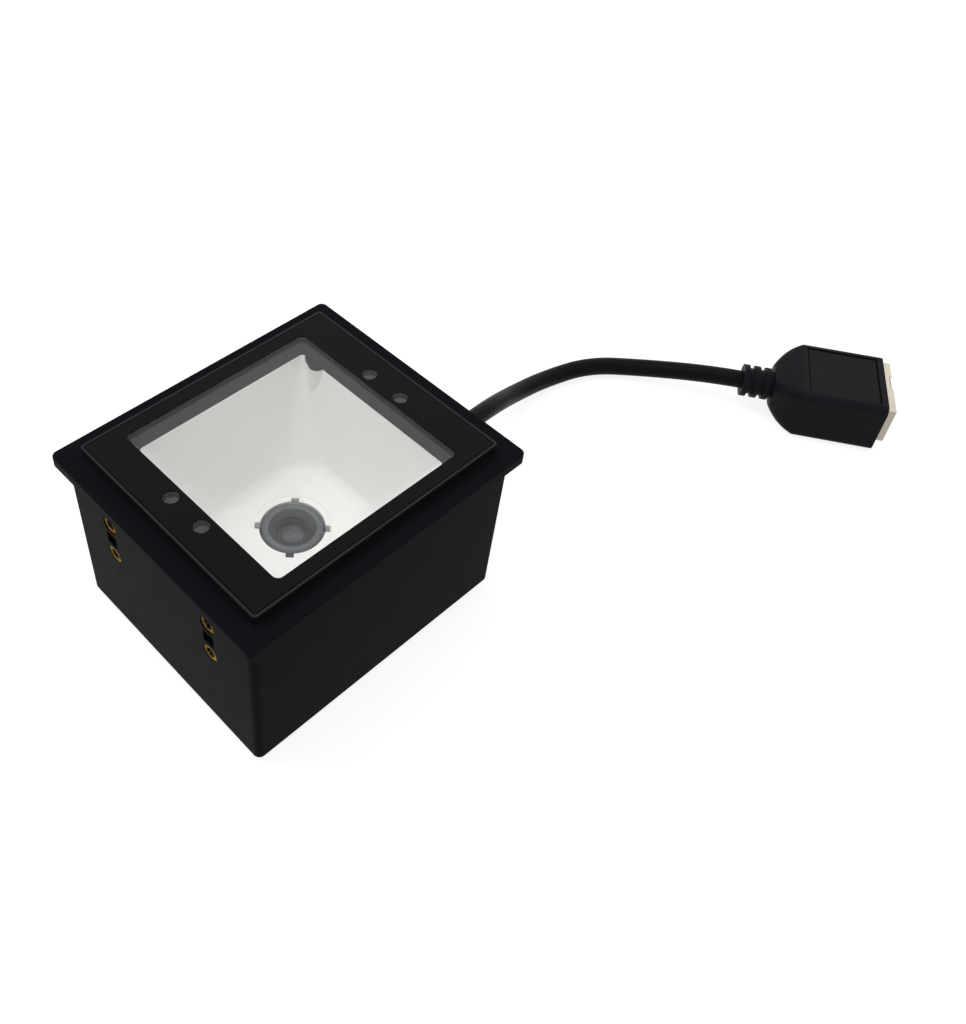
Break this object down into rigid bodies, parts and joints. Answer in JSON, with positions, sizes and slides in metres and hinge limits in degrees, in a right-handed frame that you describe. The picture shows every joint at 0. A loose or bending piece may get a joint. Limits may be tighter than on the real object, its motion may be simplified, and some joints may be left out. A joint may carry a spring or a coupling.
{
  "type": "fixed barcode reader",
  "caption": "Flanged black housing with a square window over a white reflector and lens, threaded inserts in one side, and a short cable to a modular socket.",
  "frame": {"origin": "middle of the housing's underside, on the floor", "axes": "+X along the housing's long side towards the cable exit, so the threaded inserts face -X; +Z out of the window; right-handed"},
  "size_m": [0.2093, 0.1085, 0.0505],
  "materials": {
    "housing_plastic": "fine spark texture",
    "cover_plastic": "fine spark texture",
    "print_black": "printed, satin",
    "window_glass": "clear, coated",
    "adhesive": "foam",
    "reflector_white": "smooth white",
    "optics_black": "anodised black",
    "hood_grey": "satin anodised grey",
    "lens_glass": "coated",
    "filter_glass": "coated",
    "circuit_board": "solder mask",
    "chip_black": "moulded",
    "ceramic": "ceramic",
    "lamp_white": "moulded",
    "guide_clear": "clear",
    "connector_white": "moulded",
    "contact_gold": "gold flash",
    "screw_steel": "zinc plated",
    "insert_brass": "turned",
    "ribbon": "film",
    "lead_insulation": "insulated",
    "gland_rubber": "moulded",
    "cable_jacket": "satin",
    "socket_plastic": "overmoulded",
    "shield_nickel": "nickel plated sheet",
    "jack_plastic": "moulded"
  },
  "bodies": {
    "root": {"main_housing": "housing_plastic", "bottom_cover": "cover_plastic", "panel_print": "print_black", "window_glass": "window_glass", "window_tape": "adhesive", "reflector": "reflector_white", "lens_barrel": "optics_black", "lens_ring": "optics_black", "lens_holder": "optics_black", "lens_hood": "hood_grey", "front_lens": "lens_glass", "rear_lens": "lens_glass", "infrared_filter": "filter_glass", "main_board": "circuit_board", "camera_board": "circuit_board", "lamp_board": "circuit_board", "indicator_boards": "circuit_board", "decoder_chip": "chip_black", "memory_chip": "chip_black", "image_sensor": "chip_black", "power_inductor": "chip_black", "buzzer": "chip_black", "board_capacitors": "ceramic", "board_resistors": "ceramic", "lamps": "lamp_white", "indicator_lamps": "lamp_white", "light_guides": "guide_clear", "cable_header": "connector_white", "cable_plug": "connector_white", "lamp_header": "connector_white", "board_header": "connector_white", "board_socket": "connector_white", "lamp_pins": "contact_gold", "jack_contacts": "contact_gold", "cover_screws": "screw_steel", "reflector_screws": "screw_steel", "camera_screws": "screw_steel", "board_screws": "screw_steel", "strip_screws": "screw_steel", "lamp_screws": "screw_steel", "threaded_inserts": "insert_brass", "indicator_ribbons": "ribbon", "lead_wires": "lead_insulation", "cable_gland": "gland_rubber", "cable": "cable_jacket", "socket_body": "socket_plastic", "socket_shield": "shield_nickel", "jack_insert": "jack_plastic"}
  },
  "joints": []
}
